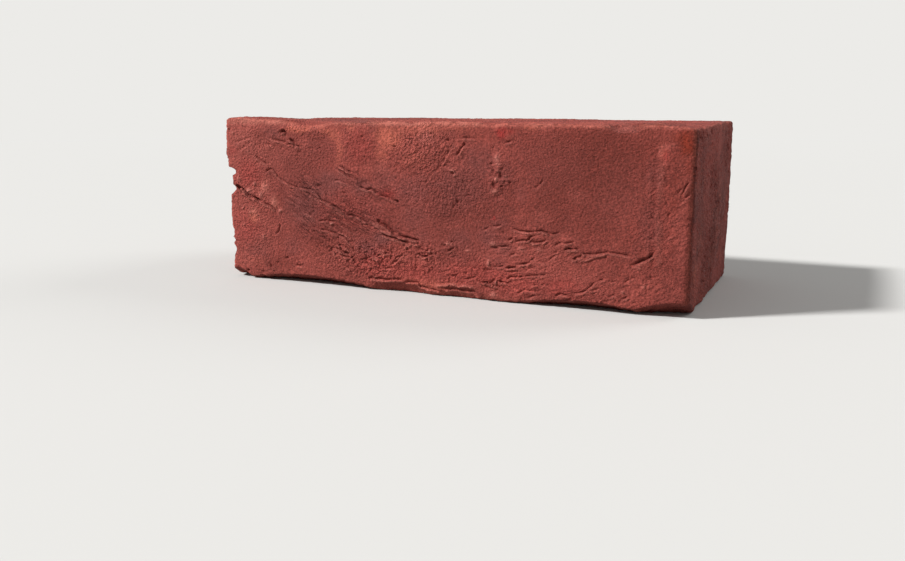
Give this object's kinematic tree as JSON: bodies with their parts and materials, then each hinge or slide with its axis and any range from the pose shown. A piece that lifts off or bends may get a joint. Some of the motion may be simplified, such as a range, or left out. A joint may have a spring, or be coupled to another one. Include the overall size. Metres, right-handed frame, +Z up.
{
  "type": "clay brick",
  "caption": "Solid hand-moulded fired clay brick with bowed faces, soft arrises, a thumb scoop, chipped edges and a split at one corner.",
  "frame": {"origin": "middle of the lower bed, under the centre of the brick's bounding box", "axes": "+X along the long faces towards the turned-back end, +Y from the shown face to the back face, +Z up from the lower bed to the struck upper bed"},
  "size_m": [0.232, 0.111, 0.079],
  "materials": {
    "fired_clay": "matte sanded red clay, fired unevenly"
  },
  "bodies": {
    "root": {"brick": "fired_clay"}
  },
  "joints": []
}
